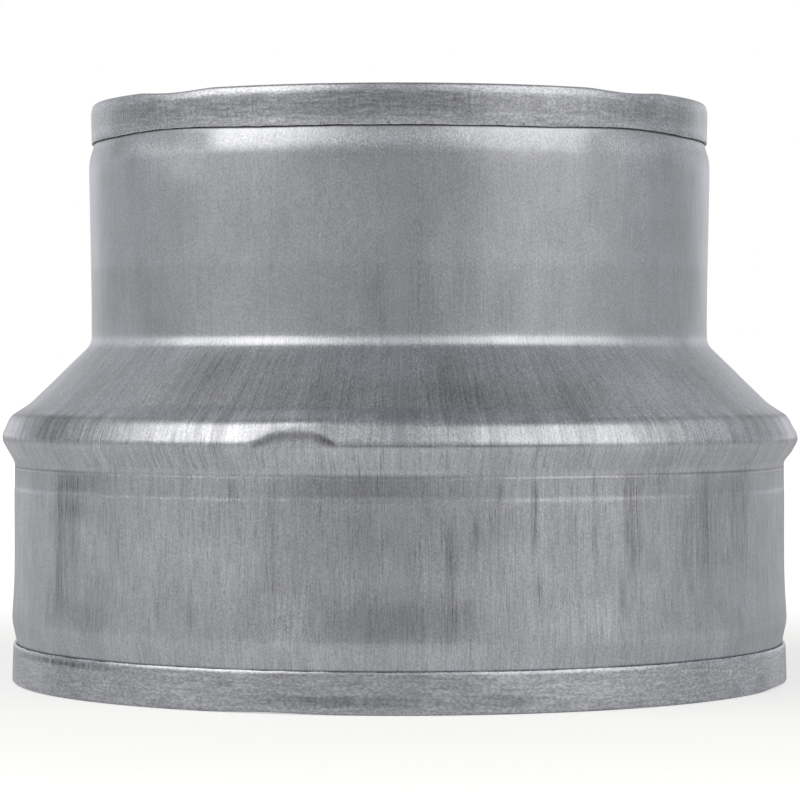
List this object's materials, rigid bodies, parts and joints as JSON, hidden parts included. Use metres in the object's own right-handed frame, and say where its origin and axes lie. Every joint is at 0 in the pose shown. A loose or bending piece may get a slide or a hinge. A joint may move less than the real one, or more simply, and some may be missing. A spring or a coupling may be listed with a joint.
{
  "type": "duct reducer",
  "caption": "Round sheet-steel duct reducer: a large end, a rolled bead, a short cone and a narrower neck, with a folded hem round each mouth.",
  "frame": {"origin": "centre of the large mouth, in the plane that its rim stands on", "axes": "+Z along the duct's axis, from the large mouth to the small one; -Y to the front of the picture, +X to its right"},
  "size_m": [0.1544, 0.1544, 0.1116],
  "materials": {
    "coated_steel": "dull metal-coated sheet, streaked along the axis by drawing"
  },
  "bodies": {
    "root": {"reducer_body": "coated_steel"}
  },
  "joints": []
}
